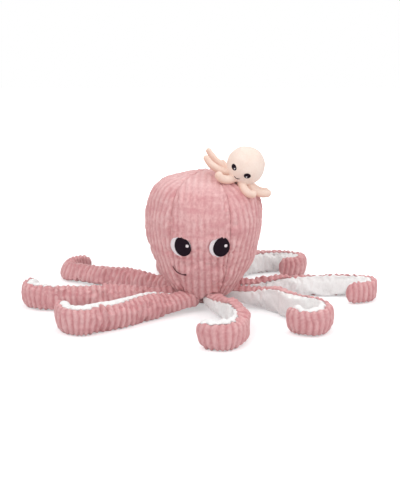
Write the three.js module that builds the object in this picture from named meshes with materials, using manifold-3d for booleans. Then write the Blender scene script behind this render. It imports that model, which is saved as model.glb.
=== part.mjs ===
// Plush octopus with a baby octopus on its head. Millimetres, +Z up, the face looks along -Y.
// The origin is the centre of the base panel's underside, on the surface the toy lies on.
import * as THREE from 'three';
import { mergeVertices } from 'three/addons/utils/BufferGeometryUtils.js';
import Module from 'manifold-3d';

const wasm = await Module();
wasm.setup();

// Head
const headWidth = 174;
const headHeight = 201;
const cheekHeight = 130;
const chinTuck = 13;
const crownPower = 2.6;
const chinPower = 1.68;
const goreCount = 6;
const faceTurn = -94;
const seamDip = 1.6;
const dipPower = 4;
const headWall = 3;
const baseThickness = 3;
const crownGapRadius = 1.5;
const goreColumnShares = [-1, -0.5, 0, 0.5, 1];
const headRowShares = [0, 0.05, 0.11, 0.19, 0.29, 0.41, 0.54, 0.66, 0.77, 0.86, 0.93, 0.98, 1];
const slopeStepShare = 0.001;
const baseSidesPerGore = 4;

// Clearances
const seamGap = 0.3;
const fillingGap = 0.8;
const floorGap = 0.1;
const surfaceGap = 0.25;
const socketGap = 0.5;

// Tentacles
const tentacleLength = 262;
const rootCircle = 44;
const rootRadius = 14;
const rootHalfThickness = 12.5;
const rootLift = 5;
const liftRun = 40;
const bodyHalfHeight = 19;
const bodyHalfThickness = 14.5;
const tipHalfHeight = 21;
const tipHalfThickness = 13.5;
const tipRounding = 14;
const tentacleWall = 2.4;
const liningInset = 0.8;
const liningHalfAngle = 72;
const liningFlatShare = 0.86;
const backRoundShare = 1.06;
const sectionPower = 0.74;
const sectionSteps = 24;
const coverColumns = 7;
const liningColumns = 5;
const bodyStations = 14;
const stationCrowding = 1.4;
const swellShare = 0.35;
const wallShareLimit = 0.3;
const rootCapAngles = [32, 60];
const tipCapAngles = [28, 52, 74];
const liftAngle = 22;
const hangAngle = 55;
const slackAngle = 3;
const pocketSides = 16;
const pocketRows = 10;

// Each tentacle: its place on the root circle and first heading, its length as a share of the
// usual one, the girth of its body and tip, its bends in plan and the shares of the length that
// they take, then the roll of its lining and the angle of its upper seam from root to tip
const tentacles = [
  {
    name: 'front_left',
    rootAngle: 243,
    heading: 202.6,
    lengthShare: 0.868,
    girthShares: [1.08, 0.98],
    bendShares: [0.14, 0.24, 0.22, 0.12, 0.12, 0.16],
    bends: [7, 11, -11, 0, -66, -80],
    roll: [10, 12, 4],
    seams: [72, 101, 112],
  },
  {
    name: 'mid_left',
    rootAngle: 202.5,
    heading: 188.3,
    lengthShare: 0.97,
    girthShares: [1, 0.94],
    bendShares: [0.14, 0.24, 0.22, 0.12, 0.12, 0.16],
    bends: [0, -2, -6, 0, -30, -132],
    roll: [0, 6, 0],
    seams: [72, 80, 116],
  },
  {
    name: 'back_left',
    rootAngle: 157.5,
    heading: 148.2,
    lengthShare: 1.022,
    girthShares: [0.95, 0.7],
    bendShares: [0.14, 0.24, 0.22, 0.12, 0.12, 0.16],
    bends: [1, 8, -5, 6, -84, -84],
    roll: [-10, -50, -10],
    seams: [72, 70, 60],
  },
  {
    name: 'back',
    rootAngle: 112.5,
    heading: 114,
    lengthShare: 0.897,
    girthShares: [1, 0.92],
    bendShares: [0.14, 0.24, 0.22, 0.12, 0.12, 0.16],
    bends: [4, 3, -39, -11, -83, -91],
    roll: [-10, 0, 10],
    seams: [72, 80, 90],
  },
  {
    name: 'back_right',
    rootAngle: 67.5,
    heading: 70,
    lengthShare: 0.972,
    girthShares: [1.06, 0.84],
    bendShares: [0.15, 0.26, 0.25, 0.11, 0.12, 0.11],
    bends: [-4, -22, -42, -22, -140, -30],
    roll: [-20, 8, 0],
    seams: [72, 84, 112],
  },
  {
    name: 'mid_right',
    rootAngle: 22.5,
    heading: 10,
    lengthShare: 1.035,
    girthShares: [0.9, 0.84],
    bendShares: [0.14, 0.25, 0.24, 0.12, 0.12, 0.13],
    bends: [-2, -4, -6, -6, -140, -30],
    roll: [-30, 8, 0],
    seams: [72, 78, 118],
  },
  {
    name: 'front_right',
    rootAngle: -22.5,
    heading: -14,
    lengthShare: 0.866,
    girthShares: [1.08, 0.95],
    bendShares: [0.14, 0.24, 0.22, 0.12, 0.12, 0.16],
    bends: [-2, -40, 26, -62, -72, -118],
    roll: [-20, 4, 6],
    seams: [72, 82, 118],
  },
  {
    name: 'front',
    rootAngle: -77,
    heading: -63.6,
    lengthShare: 0.722,
    girthShares: [1.02, 0.98],
    bendShares: [0.14, 0.24, 0.22, 0.12, 0.12, 0.16],
    bends: [6, -14, -28, -15, -64, -62],
    roll: [-10, 0, 14],
    seams: [72, 78, 112],
  },
];

// Face, placed by turn from the face's centre line and by height
const eyeTurns = { left: -19.1, right: 18 };
const eyeHeight = 110.4;
const eyeRadius = 15;
const eyeThickness = 0.9;
const pupilHalfWidth = 12;
const pupilHalfHeight = 14.6;
const pupilShift = 3.4;
const pupilRise = 0.8;
const pupilThickness = 0.7;
const glintRadius = 2.2;
const glintAcross = 6.7;
const glintUp = 1.8;
const glintThickness = 0.5;
const threadRadius = 1;
const mouthTurns = [-31, -29.6, -27.2, -22.5, -16];
const mouthHeights = [77.9, 73.2, 69, 66.6, 66.1];
const knotRadius = 1.7;
const mouthSides = 6;
const mouthSteps = 10;
const patchSides = 12;
const patchWidthShares = [0.35, 0.7, 1, 1, 0.85, 0.35];
const patchLevelShares = [0, 0, 0, 0.6, 1, 1];
const tubeEndShare = 0.35;

// Baby, its head centred above its seat on the big head
const seatTurn = 68;
const seatHeightShare = 0.9562;
const babyRadius = 27.4;
const babyWall = 2;
const babyFlatDepth = 23.4;
const ballSides = 16;
const hollowSides = 12;
const ballRowShare = 0.75;
const babyLeanRight = 30.6;
const babyLeanFront = 10;
const patchRadius = 9;
const patchThickness = 1;
const babyLimbRadius = 6;
const babyLimbTipRadius = 5;
const babyLimbReach = 60;
const babyLimbReachShares = [0.2, 0.42, 0.72, 1];
const babyLimbHeights = [-19, -22.5, -22, -16];
const babyLimbSides = 8;
const babyLimbSteps = 9;
const babyLimbs = [
  { rootTurn: 157.5, tipTurn: 165, reachShare: 1, lift: 4 },
  { rootTurn: 202.5, tipTurn: 187, reachShare: 0.97, lift: 0 },
  { rootTurn: 247.5, tipTurn: 222, reachShare: 0.74, lift: -5 },
  { rootTurn: 292.5, tipTurn: 318, reachShare: 0.7, lift: -4 },
  { rootTurn: 337.5, tipTurn: 368, reachShare: 0.9, lift: -3 },
  { rootTurn: 22.5, tipTurn: 18, reachShare: 0.92, lift: -6 },
  { rootTurn: 67.5, tipTurn: 76, reachShare: 0.9, lift: -4 },
  { rootTurn: 112.5, tipTurn: 128, reachShare: 0.8, lift: -8 },
];
const babyEyeTurns = { left: -35, right: 13 };
const babyEyeRise = -3;
const babyEyeHalfWidth = 4.5;
const babyEyeHalfHeight = 3.8;
const babyEyeThickness = 0.8;
const babyMouthTurns = [-22, -14, -7, 0];
const babyMouthRises = [-33, -35.5, -34.5, -29.5];
const babyThreadRadius = 0.6;
const babyMouthSteps = 6;
const skinSidesPerGore = 6;

const plush = { color: 0xd7a2a4, roughness: 0.95, metalness: 0 };
const lining = { color: 0xece6e4, roughness: 0.95, metalness: 0 };
const cream = { color: 0xf6e2d6, roughness: 0.95, metalness: 0 };
const white = { color: 0xf2ecec, roughness: 0.8, metalness: 0 };
const dark = { color: 0x2a1e27, roughness: 0.7, metalness: 0 };
const fibre = { color: 0xf4f2ee, roughness: 1, metalness: 0 };
const tape = { color: 0xe8ddd4, roughness: 0.9, metalness: 0 };

const vec = (x, y, z) => new THREE.Vector3(x, y, z);
const radians = THREE.MathUtils.degToRad;
const up = vec(0, 0, 1);
const octopus = new THREE.Group();
const chinDepth = cheekHeight + chinTuck;

function polar(radius, turn, height) {
  return vec(radius * Math.cos(radians(turn)), radius * Math.sin(radians(turn)), height);
}

// A closed body from rings of equal count. A strip ring holds an outer row and an inner row
// of equal length, so its ends close between the rows; a plain ring closes to its middle.
function loft(rings, isStrip) {
  const count = rings[0].length;
  const half = count / 2;
  const points = rings.flat();
  const faces = [];
  for (let i = 0; i < rings.length - 1; i += 1) {
    for (let j = 0; j < count; j += 1) {
      const a = i * count + j;
      const b = i * count + (j + 1) % count;
      faces.push(a, b, b + count, a, b + count, a + count);
    }
  }
  for (const [start, flip] of [[0, true], [(rings.length - 1) * count, false]]) {
    const put = (a, b, c) => faces.push(start + a, start + (flip ? c : b), start + (flip ? b : c));
    if (isStrip) {
      for (let j = 0; j < half - 1; j += 1) {
        put(j, j + 1, count - 2 - j);
        put(j, count - 2 - j, count - 1 - j);
      }
    } else {
      for (let j = 1; j < count - 1; j += 1) put(0, j, j + 1);
    }
  }
  return new THREE.BufferGeometry().setFromPoints(points).setIndex(faces);
}

function toSolid(source) {
  const bare = new THREE.BufferGeometry();
  bare.setAttribute('position', source.getAttribute('position'));
  bare.setIndex(source.getIndex());
  const geometry = mergeVertices(bare);
  const vertProperties = new Float32Array(geometry.getAttribute('position').array);
  const triVerts = new Uint32Array(geometry.getIndex().array);
  return new wasm.Manifold(new wasm.Mesh({ numProp: 3, vertProperties, triVerts }));
}

function toGeometry(solid) {
  const mesh = solid.getMesh();
  const points = Array.from({ length: mesh.numVert }, (_, i) => vec(...mesh.position(i)));
  return new THREE.BufferGeometry().setFromPoints(points).setIndex([...mesh.triVerts]);
}

// The largest body that the cutters leave
function cut(geometry, cutters) {
  const left = cutters.reduce((solid, cutter) => solid.subtract(toSolid(cutter)), toSolid(geometry));
  const bodies = left.decompose().sort((a, b) => b.volume() - a.volume());
  return toGeometry(bodies[0]);
}

function add(name, geometry, finish, parent = octopus) {
  geometry.computeVertexNormals();
  const mesh = new THREE.Mesh(geometry, new THREE.MeshStandardMaterial(finish));
  mesh.name = name;
  parent.add(mesh);
}

// Head outline: a flat-shouldered crown above the cheeks, a cone-like curve below them
function headRadius(height) {
  const crown = height > cheekHeight;
  const reach = crown ? headHeight - cheekHeight : chinDepth;
  const power = crown ? crownPower : chinPower;
  const share = Math.min(Math.abs(height - cheekHeight) / reach, 1);
  return (headWidth / 2) * (1 - share ** power) ** (1 / power);
}

function headPoint(turn, height, offset) {
  const step = headWidth * slopeStepShare;
  const slope = (headRadius(height + step) - headRadius(height - step)) / (2 * step);
  const length = Math.hypot(1, slope);
  return polar(headRadius(height) + offset / length, turn, height - (offset * slope) / length);
}

// The height at which the crown has narrowed to a given radius
function crownHeight(radius) {
  const share = radius / (headWidth / 2);
  return cheekHeight + (headHeight - cheekHeight) * (1 - share ** crownPower) ** (1 / crownPower);
}

const goreHalf = 180 / goreCount;
const goreBottom = baseThickness + seamGap;
const goreTop = crownHeight(crownGapRadius);
const headRows = headRowShares.map((share) => THREE.MathUtils.lerp(goreBottom, goreTop, share));

// A point on a gore's cloth, drawn in towards its two seams
function gorePoint(turn, column, height, depth) {
  const radius = headRadius(height);
  const dip = seamDip * Math.abs(column) ** dipPower * (2 * radius / headWidth);
  return headPoint(turn, height, -depth - dip);
}

function gore(middle) {
  return loft(headRows.map((height) => {
    const trim = THREE.MathUtils.radToDeg(seamGap / 2 / headRadius(height));
    const row = (depth, columns) => columns.map((column) => (
      gorePoint(middle + column * (goreHalf - trim), column, height, depth)
    ));
    return [...row(0, goreColumnShares), ...row(headWall, goreColumnShares.toReversed())];
  }), true);
}

function headFilling() {
  const columns = goreColumnShares.slice(1);
  return loft(headRows.map((height) => (
    Array.from({ length: goreCount }, (_, k) => columns.map((column) => (
      gorePoint(faceTurn + (2 * k + column) * goreHalf, column, height, headWall + fillingGap)
    ))).flat()
  )), false);
}

function basePanel() {
  return loft([0, baseThickness].map((height) => (
    Array.from({ length: goreCount * baseSidesPerGore }, (_, k) => (
      polar(headRadius(height), faceTurn + (2 * goreHalf * k) / baseSidesPerGore, height)
    ))
  )), false);
}

// Tentacle section: its points run round from the lining's upper edge over the back
function sectionPoint(angle, halfHeight, halfThickness) {
  const across = Math.cos(radians(angle));
  const along = Math.sin(radians(angle));
  const side = across > 0 ? liningFlatShare : backRoundShare;
  return [
    Math.sign(across) * Math.abs(across) ** sectionPower * halfThickness * side,
    Math.sign(along) * Math.abs(along) ** sectionPower * halfHeight,
  ];
}

function angleRow(from, to, count) {
  return Array.from({ length: count }, (_, k) => from + ((to - from) * k) / (count - 1));
}

// Place and heading at a distance from the root; a negative one lies behind the root
function routeAt(spec, distance) {
  const place = polar(rootCircle, spec.rootAngle, 0);
  let heading = radians(spec.heading);
  let left = distance;
  spec.bends.forEach((bend, k) => {
    const run = spec.bendShares[k] * spec.lengthShare * tentacleLength;
    const step = Math.min(left, run);
    const half = (radians(bend) * step) / run / 2;
    const chord = half === 0 ? step : (step * Math.sin(half)) / half;
    place.add(vec(Math.cos(heading + half), Math.sin(heading + half), 0).multiplyScalar(chord));
    heading += 2 * half;
    left = Math.max(left - step, 0);
  });
  return { centre: place, ahead: vec(Math.cos(heading), Math.sin(heading), 0) };
}

// Stations along a tentacle: distance from the root and size factor of the section
function tentacleStations(length) {
  const bodyLength = length - tipRounding;
  const root = rootCapAngles.map((angle) => ({
    distance: -rootRadius * Math.cos(radians(angle)),
    factor: Math.sin(radians(angle)),
  }));
  const body = Array.from({ length: bodyStations + 1 }, (_, k) => ({
    distance: bodyLength * (1 - (1 - k / bodyStations) ** stationCrowding),
    factor: 1,
  }));
  const tip = tipCapAngles.map((angle) => ({
    distance: bodyLength + tipRounding * Math.sin(radians(angle)),
    factor: Math.cos(radians(angle)),
  }));
  return [...root, ...body, ...tip];
}

function blend(values, share) {
  const scaled = share * (values.length - 1);
  const low = Math.min(Math.floor(scaled), values.length - 2);
  return THREE.MathUtils.lerp(values[low], values[low + 1], scaled - low);
}

function swell(root, body, tip, share) {
  const rise = THREE.MathUtils.smoothstep(share, 0, swellShare);
  const fall = THREE.MathUtils.smoothstep(share, swellShare, 1);
  return THREE.MathUtils.lerp(THREE.MathUtils.lerp(root, body, rise), tip, fall);
}

// Frames of the sections, each one just clear of the floor and the root raised above it
function tentacleFrames(spec) {
  const length = spec.lengthShare * tentacleLength;
  const [bodyShare, tipShare] = spec.girthShares;
  return tentacleStations(length).map(({ distance, factor }) => {
    const { centre, ahead } = routeAt(spec, distance);
    const share = Math.max(distance, 0) / length;
    const side = ahead.clone().cross(up);
    const tilt = radians(blend(spec.roll, share));
    const face = side.clone().multiplyScalar(Math.cos(tilt)).addScaledVector(up, Math.sin(tilt));
    const ridge = up.clone().multiplyScalar(Math.cos(tilt)).addScaledVector(side, -Math.sin(tilt));
    const height = swell(rootRadius, bodyHalfHeight * bodyShare, tipHalfHeight * tipShare, share);
    const thickness = swell(
      rootHalfThickness, bodyHalfThickness * bodyShare, tipHalfThickness * tipShare, share);
    const lows = angleRow(0, 360, sectionSteps).map((angle) => {
      const [x, y] = sectionPoint(angle, height, thickness);
      return face.z * x + ridge.z * y;
    });
    const raised = rootLift * (1 - THREE.MathUtils.smoothstep(distance, 0, liftRun));
    centre.z = floorGap - Math.min(...lows) + raised;
    const place = (angle, inset) => {
      const depth = Math.min(inset, (wallShareLimit * factor * thickness * inset) / tentacleWall);
      const [x, y] = sectionPoint(angle, height * factor - depth, thickness * factor - depth);
      return centre.clone().addScaledVector(face, x).addScaledVector(ridge, y);
    };
    const seam = blend(spec.seams, share);
    const trim = THREE.MathUtils.radToDeg(seamGap / 2 / (thickness * factor));
    return { place, seam, trim };
  });
}

// A strip of a section's wall between two angles, its outer row inset from the section
function wallRing(place, angles, inset) {
  const outer = angles.map((angle) => place(angle, inset));
  const inner = angles.toReversed().map((angle) => place(angle, tentacleWall));
  return [...outer, ...inner].toReversed();
}

function tentacleCover(frames) {
  return loft(frames.map(({ place, seam, trim }) => (
    wallRing(place, angleRow(seam + trim, 360 - liningHalfAngle - trim, coverColumns), 0)
  )), true);
}

function tentacleLining(frames) {
  return loft(frames.map(({ place, seam, trim }) => (
    wallRing(place, angleRow(-liningHalfAngle + trim, seam - trim, liningColumns), liningInset)
  )), true);
}

function tentacleFilling(frames) {
  return loft(frames.slice(1, -2).map(({ place, seam }) => {
    const back = angleRow(seam, 360 - liningHalfAngle, coverColumns);
    const front = angleRow(-liningHalfAngle, seam, liningColumns).slice(1, -1);
    return [...back, ...front].map((angle) => place(angle, tentacleWall + fillingGap)).toReversed();
  }), false);
}

// Room for a tentacle's root to swing: a round socket, open from the hanging to the lifted side
function swingPocket(spec) {
  const cornerShare = 2 ** ((1 - sectionPower) / 2);
  const clear = rootRadius * cornerShare + socketGap;
  const reach = 2 * rootCircle;
  const flare = bodyHalfHeight - rootRadius;
  const edge = (turn, side) => {
    const ray = new THREE.Vector2(Math.cos(radians(turn)), Math.sin(radians(turn)));
    const normal = new THREE.Vector2(-ray.y, ray.x).multiplyScalar(side);
    const far = ray.multiplyScalar(reach).addScaledVector(normal, clear + flare);
    return [normal.clone().multiplyScalar(clear), far];
  };
  const low = edge(-hangAngle - slackAngle, -1);
  const high = edge(liftAngle + slackAngle, 1);
  const shape = new THREE.Shape([new THREE.Vector2(), ...low, ...high.toReversed()]);
  const fan = new THREE.ExtrudeGeometry(shape, { depth: 2 * clear, bevelEnabled: false });
  fan.translate(0, 0, -clear);
  fan.rotateX(Math.PI / 2);
  const ball = new THREE.SphereGeometry(clear, pocketSides, pocketRows);
  const root = polar(rootCircle, spec.rootAngle, rootRadius + floorGap + rootLift);
  return [fan, ball].map((geometry) => (
    geometry.rotateZ(radians(spec.heading)).translate(root.x, root.y, root.z)
  ));
}

// A patch that lies on a surface, from rings of its half sizes
function patch(surface, halfWidth, halfHeight, lift, thickness) {
  return loft(patchWidthShares.map((share, ring) => (
    Array.from({ length: patchSides }, (_, k) => {
      const angle = (2 * Math.PI * k) / patchSides;
      const across = Math.cos(angle) * halfWidth * share;
      const along = Math.sin(angle) * halfHeight * share;
      return surface(across, along, lift + thickness * patchLevelShares[ring]);
    })
  )), false);
}

function onHead(turn, height) {
  return (across, along, lift) => (
    headPoint(turn + THREE.MathUtils.radToDeg(across / headRadius(height)), height + along, lift)
  );
}

// A point on the baby's round head, by its turn from the face's middle and its rise
function babyPoint(turn, rise, lift) {
  const radius = babyRadius + lift;
  return polar(radius * Math.cos(radians(rise)), turn - 90, radius * Math.sin(radians(rise)));
}

function onBaby(turn, rise) {
  const degrees = (length) => THREE.MathUtils.radToDeg(length / babyRadius);
  return (across, along, lift) => babyPoint(turn + degrees(across), rise + degrees(along), lift);
}

// A round-ended tube along a curve, with a radius at each end
function tube(points, startRadius, endRadius, sides, steps) {
  const curve = new THREE.CatmullRomCurve3(points);
  const length = curve.getLength();
  const frames = curve.computeFrenetFrames(steps, false);
  return loft(Array.from({ length: steps + 1 }, (_, i) => {
    const share = i / steps;
    const centre = curve.getPointAt(share);
    const full = THREE.MathUtils.lerp(startRadius, endRadius, share);
    const fromEnd = Math.min(share, 1 - share) * length;
    const inside = Math.min(fromEnd / full, 1);
    const radius = full * Math.max(Math.sqrt(1 - (1 - inside) ** 2), tubeEndShare);
    return Array.from({ length: sides }, (__, k) => {
      const angle = (2 * Math.PI * k) / sides;
      return centre.clone()
        .addScaledVector(frames.normals[i], Math.cos(angle) * radius)
        .addScaledVector(frames.binormals[i], Math.sin(angle) * radius);
    });
  }), false);
}

function ball(radius, sides) {
  return new THREE.SphereGeometry(radius, sides, sides * ballRowShare);
}

// Head
const pockets = tentacles.flatMap(swingPocket);
const goreNames = ['front', 'front_right', 'back_right', 'back', 'back_left', 'front_left'];
goreNames.forEach((name, k) => {
  add(`head_gore_${name}`, cut(gore(faceTurn + 2 * k * goreHalf), pockets), plush);
});
add('head_filling', cut(headFilling(), pockets), fibre);
add('base_panel', basePanel(), plush);

// Face
for (const [side, turn] of Object.entries(eyeTurns)) {
  const degrees = (length) => THREE.MathUtils.radToDeg(length / headRadius(eyeHeight));
  const eyeTurn = faceTurn + turn;
  const pupilTurn = eyeTurn + degrees(pupilShift);
  const pupilHeight = eyeHeight + pupilRise;
  const pupilLift = surfaceGap + eyeThickness + surfaceGap;
  const glint = onHead(pupilTurn + degrees(glintAcross), pupilHeight + glintUp);
  const glintLift = pupilLift + pupilThickness + surfaceGap;
  add(`eye_${side}_patch`,
    patch(onHead(eyeTurn, eyeHeight), eyeRadius, eyeRadius, surfaceGap, eyeThickness), white);
  add(`eye_${side}_pupil`, patch(
    onHead(pupilTurn, pupilHeight), pupilHalfWidth, pupilHalfHeight, pupilLift, pupilThickness), dark);
  add(`eye_${side}_glint`,
    patch(glint, glintRadius, glintRadius, glintLift, glintThickness), white);
}
const mouthPoints = mouthTurns.map((turn, k) => (
  headPoint(faceTurn + turn, mouthHeights[k], threadRadius + surfaceGap)
));
add('mouth_thread',
  tube(mouthPoints, threadRadius, knotRadius, mouthSides, mouthSteps), dark);

// Tentacles
for (const spec of tentacles) {
  const frames = tentacleFrames(spec);
  add(`tentacle_${spec.name}_cover`, tentacleCover(frames), plush);
  add(`tentacle_${spec.name}_lining`, tentacleLining(frames), lining);
  add(`tentacle_${spec.name}_filling`, tentacleFilling(frames), fibre);
}

// Seat of the baby, with its two patches between the heads
const seatHeight = headHeight * seatHeightShare;
const seat = headPoint(faceTurn + seatTurn, seatHeight, 0);
const seatNormal = headPoint(faceTurn + seatTurn, seatHeight, headWall).sub(seat).normalize();
const seatTurned = new THREE.Quaternion().setFromUnitVectors(vec(0, 1, 0), seatNormal);
const hookLift = surfaceGap + patchThickness + seamGap;
const babyFlat = hookLift + patchThickness + seamGap;

function onSeat(geometry, lift) {
  return geometry.translate(0, lift, 0).applyQuaternion(seatTurned).translate(seat.x, seat.y, seat.z);
}

for (const [name, lift] of [['loop_patch', surfaceGap], ['hook_patch', hookLift]]) {
  const disc = new THREE.CylinderGeometry(patchRadius, patchRadius, patchThickness, patchSides);
  add(name, onSeat(disc, lift + patchThickness / 2), tape);
}

// Baby
const baby = new THREE.Group();
baby.position.copy(seat).addScaledVector(seatNormal, babyFlat + babyFlatDepth);
baby.rotation.set(radians(babyLeanFront), radians(babyLeanRight), 0, 'YXZ');
baby.updateMatrix();
octopus.add(baby);
const toBaby = baby.matrix.clone().invert();

// Everything below the baby's flat, as a block whose top is a given height above the flat
function belowFlat(height) {
  const block = new THREE.BoxGeometry(babyLimbReach, babyLimbReach, babyLimbReach);
  return onSeat(block, babyFlat + height - babyLimbReach / 2).applyMatrix4(toBaby);
}

function babyLimb({ rootTurn, tipTurn, reachShare, lift }) {
  const points = babyLimbReachShares.map((share, k) => {
    const along = k / (babyLimbReachShares.length - 1);
    const turn = THREE.MathUtils.lerp(rootTurn, tipTurn, along);
    const reach = share * THREE.MathUtils.lerp(1, reachShare, along);
    return polar(reach * babyLimbReach, turn, babyLimbHeights[k] + lift * along);
  });
  return tube(points, babyLimbRadius, babyLimbTipRadius, babyLimbSides, babyLimbSteps);
}

const headSkin = loft(headRows.map((height) => (
  Array.from({ length: goreCount * skinSidesPerGore }, (_, k) => (
    headPoint((2 * goreHalf * k) / skinSidesPerGore, height, seamGap + surfaceGap)
  ))
)), false).applyMatrix4(toBaby);
const babyHollow = ball(babyRadius - babyWall, hollowSides);
const babyCore = ball(babyRadius - babyWall - fillingGap, hollowSides);
const babyClear = ball(babyRadius + seamGap, ballSides);
add('baby_head', cut(ball(babyRadius, ballSides), [babyHollow, belowFlat(0)]), cream, baby);
add('baby_filling', cut(babyCore, [belowFlat(babyWall / 2)]), fibre, baby);
babyLimbs.forEach((spec, k) => {
  add(`baby_limb_${k + 1}`, cut(babyLimb(spec), [babyClear, headSkin]), cream, baby);
});
for (const [side, turn] of Object.entries(babyEyeTurns)) {
  const surface = onBaby(turn, babyEyeRise);
  add(`baby_eye_${side}`,
    patch(surface, babyEyeHalfWidth, babyEyeHalfHeight, surfaceGap, babyEyeThickness), dark, baby);
}
const babyMouth = babyMouthTurns.map((turn, k) => (
  babyPoint(turn, babyMouthRises[k], babyThreadRadius + surfaceGap)
));
add('baby_mouth_thread',
  tube(babyMouth, babyThreadRadius, babyThreadRadius, mouthSides, babyMouthSteps), dark, baby);

export default octopus;
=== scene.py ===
"""Plush octopus with a baby octopus on its head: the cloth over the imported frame."""
import math

import bpy
import numpy as np
from mathutils import Matrix, Vector


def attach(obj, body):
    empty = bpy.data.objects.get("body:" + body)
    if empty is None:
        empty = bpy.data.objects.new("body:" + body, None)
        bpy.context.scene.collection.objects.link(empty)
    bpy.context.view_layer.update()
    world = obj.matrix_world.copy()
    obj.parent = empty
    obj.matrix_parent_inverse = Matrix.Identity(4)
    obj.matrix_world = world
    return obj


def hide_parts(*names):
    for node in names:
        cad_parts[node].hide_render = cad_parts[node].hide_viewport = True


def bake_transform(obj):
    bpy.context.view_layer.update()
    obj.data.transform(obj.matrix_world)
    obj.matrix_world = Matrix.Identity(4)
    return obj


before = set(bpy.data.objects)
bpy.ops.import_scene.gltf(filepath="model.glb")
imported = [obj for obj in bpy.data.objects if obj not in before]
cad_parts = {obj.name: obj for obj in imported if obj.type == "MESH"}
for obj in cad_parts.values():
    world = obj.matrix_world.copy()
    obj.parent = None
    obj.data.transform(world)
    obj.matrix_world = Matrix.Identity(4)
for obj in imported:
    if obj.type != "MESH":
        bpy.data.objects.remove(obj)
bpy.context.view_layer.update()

scene = bpy.context.scene
MM = 0.001

# Sizes of the solids, in millimetres and degrees
HEAD_WIDTH, HEAD_HEIGHT, CHEEK_HEIGHT, CHIN_DEPTH = 174, 201, 130, 143
CROWN_POWER, CHIN_POWER = 2.6, 1.68
GORES = ["front", "front_right", "back_right", "back", "back_left", "front_left"]
GORE_HALF = 180 / len(GORES)
FACE_TURN = -94
BASE_THICKNESS, SEAM_GAP, FLOOR_GAP, SURFACE_GAP = 3, 0.3, 0.1, 0.25
CROWN_GAP = 1.5
ROOT_CIRCLE, ROOT_RADIUS, ROOT_THICKNESS = 44, 14, 12.5
BODY_HEIGHT, BODY_THICKNESS = 19, 14.5
TIP_HEIGHT, TIP_THICKNESS, TIP_ROUNDING = 21, 13.5, 14
LINING_INSET, LINING_FLAT, BACK_ROUND, SECTION_POWER = 0.8, 0.86, 1.06, 0.74
SWELL_SHARE = 0.35
ROOT_LIFT, LIFT_RUN = 5, 40
# Bends in plan and the shares of the length that they take
USUAL_SHARES = [0.14, 0.24, 0.22, 0.12, 0.12, 0.16]
BEND_SHARES = {"back_right": [0.15, 0.26, 0.25, 0.11, 0.12, 0.11],
               "mid_right": [0.14, 0.25, 0.24, 0.12, 0.12, 0.13]}
# Root's turn, first heading, share of the length, girth, bends, the lining's roll, its upper seam
TENTACLES = {
    "front_left": (243, 202.6, 0.868, [1.08, 0.98], [7, 11, -11, 0, -66, -80],
        [10, 12, 4], [40, 95, 105]),
    "mid_left": (202.5, 188.3, 0.97, [1, 0.94], [0, -2, -6, 0, -30, -132],
        [0, 6, 0], [62, 62, 114]),
    "back_left": (157.5, 148.2, 1.022, [0.95, 0.7], [1, 8, -5, 6, -84, -84],
        [-10, -50, -10], [72, 66, -10]),
    "back": (112.5, 112.2, 0.897, [0.93, 0.92], [4, 3, -39, -11, -83, -91],
        [-10, 0, 10], [72, 80, 90]),
    "back_right": (67.5, 70, 0.972, [1.06, 0.84], [-4, -22, -42, -22, -140, -30],
        [-20, 8, 0], [5, 46, 94]),
    "mid_right": (22.5, 10, 1.035, [0.9, 0.84], [-2, -4, -6, -6, -140, -30],
        [-30, 8, 0], [52, 78, 102]),
    "front_right": (-22.5, -14, 0.866, [1.08, 0.95], [-2, -40, 26, -62, -72, -118],
        [-20, 4, 6], [56, 82, 116]),
    "front": (-77, -63.6, 0.722, [1.02, 0.98], [6, -14, -28, -15, -64, -62],
        [-10, 0, 14], [30, 76, 112]),
}
TENTACLE_LENGTH = 262
EYE_TURNS = {"left": -19.1, "right": 18}
EYE_HEIGHT, EYE_RADIUS, EYE_OVERLAP = 110.4, 15, 2.6
EYE_WHITES = {"left": 15.8, "right": 14.2}
PUPIL_SHIFT, PUPIL_RISE, PUPIL_WIDTH, PUPIL_HEIGHT = 3.4, 0.8, 12, 14.6
PUPIL_EGG, PUPIL_LEANS = 0.12, {"left": 8, "right": 0}
GLINT_ACROSS, GLINT_UP, GLINT_RADIUS = {"left": 7.4, "right": 5.6}, 1.8, 2.2
MOUTH_TURNS = [-31, -29.6, -27.2, -22.5, -16]
MOUTH_HEIGHTS = [77.9, 73.2, 69, 66.6, 66.1]
MOUTH_TAPER = [(0, 0.1), (0.03, 0.5), (0.1, 0.6), (0.8, 0.65), (0.9, 1.1), (0.97, 1.1), (1, 0.2)]
SEAT_TURN, SEAT_HEIGHT = 68, 0.9562 * HEAD_HEIGHT
BABY_RADIUS, BABY_FLAT_DEPTH, PATCH_THICKNESS, SEAT_PATCH = 27.4, 23.4, 1, 9
BABY_LEAN_RIGHT, BABY_LEAN_FRONT = 30.6, 10
BABY_LIMB_RADIUS, BABY_LIMB_TIP, BABY_REACH = 6, 5, 60
BABY_SLIM_TIPS = {1: 0.7, 2: 0.74}
# Baby's limbs: a warmer tone all over, and more on their undersides as painted shade with the pink
# head's reflected light
LIMB_WARM, UNDER_PAINTED_SHADE = 0.22, 0.62
BABY_PILE = 0.5
BABY_REACH_SHARES = [0.2, 0.42, 0.72, 1]
BABY_HEIGHTS = [-19, -22.5, -22, -16]
BABY_LIMBS = [
    (157.5, 165, 1, 4), (202.5, 187, 0.97, 0), (247.5, 222, 0.74, -5), (292.5, 318, 0.7, -4),
    (337.5, 368, 0.9, -3), (22.5, 18, 0.92, -6), (67.5, 76, 0.9, -4), (112.5, 128, 0.8, -8),
]
BABY_EYE_TURNS = {"left": -35, "right": 13}
BABY_EYE_RISE, BABY_EYE_WIDTH, BABY_EYE_HEIGHT = -8, 5, 3.9
BABY_EYE_LEANS = {"left": -20, "right": 20}
BABY_GLINTS = {"left": (4.6, -1.8), "right": (-0.6, -3.6)}
BABY_MOUTH_TURNS = [-22, -14, -7, 0]
BABY_MOUTH_RISES = [-33, -35.5, -34.5, -29.5]
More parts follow.
